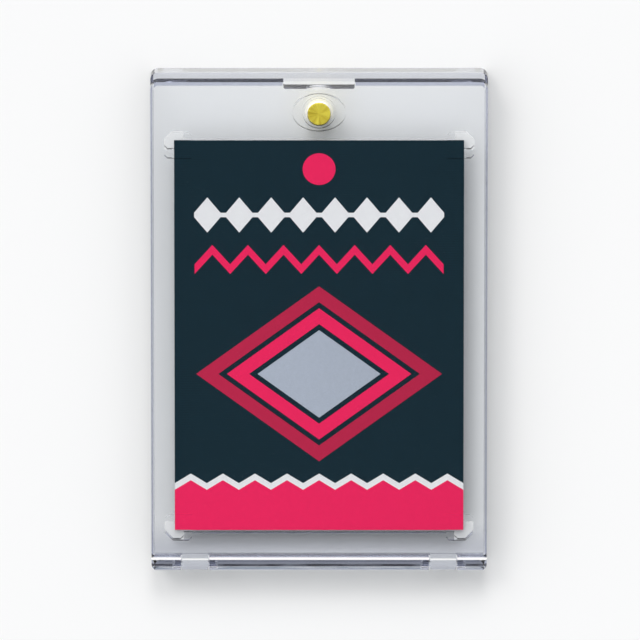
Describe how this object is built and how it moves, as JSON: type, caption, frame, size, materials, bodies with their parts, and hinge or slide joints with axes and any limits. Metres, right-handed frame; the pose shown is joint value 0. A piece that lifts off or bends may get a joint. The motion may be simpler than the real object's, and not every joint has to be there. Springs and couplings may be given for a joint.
{
  "type": "hinged magnetic trading card case",
  "caption": "Flat clear plastic case for one trading card: a base tray, a hinged cover held shut by a pair of disc magnets, and a printed backing card in its well.",
  "frame": {"origin": "under the middle of the base, on the face that it lies on", "axes": "+Z out of the front face, +Y towards the magnet end, +X to the right seen from the front"},
  "size_m": [0.0738, 0.1132, 0.0076],
  "materials": {
    "clear_plastic": "polished clear",
    "gold_plated_magnet": "bright plated",
    "card_dark_teal": "matt coated card",
    "ink_pink": "matt print",
    "ink_crimson": "matt print",
    "ink_white": "matt print",
    "ink_pale_grey": "matt print"
  },
  "bodies": {
    "base": {"base_tray": "clear_plastic", "back_magnet": "gold_plated_magnet", "backing_card": "card_dark_teal", "print_foot": "ink_pink", "print_foot_edge": "ink_white", "print_diamond": "ink_pale_grey", "print_inner_frame": "ink_pink", "print_outer_frame": "ink_crimson", "print_zigzag": "ink_pink", "print_lozenges": "ink_white", "print_disc": "ink_pink"},
    "cover": {"front_cover": "clear_plastic", "front_magnet": "gold_plated_magnet"}
  },
  "joints": [
    {"name": "cover_hinge", "type": "hinge", "parent": "base", "child": "cover", "pos_m": [0, -0.05485, 0.00575], "axis": [1, 0, 0], "range_deg": [0, 180]}
  ]
}
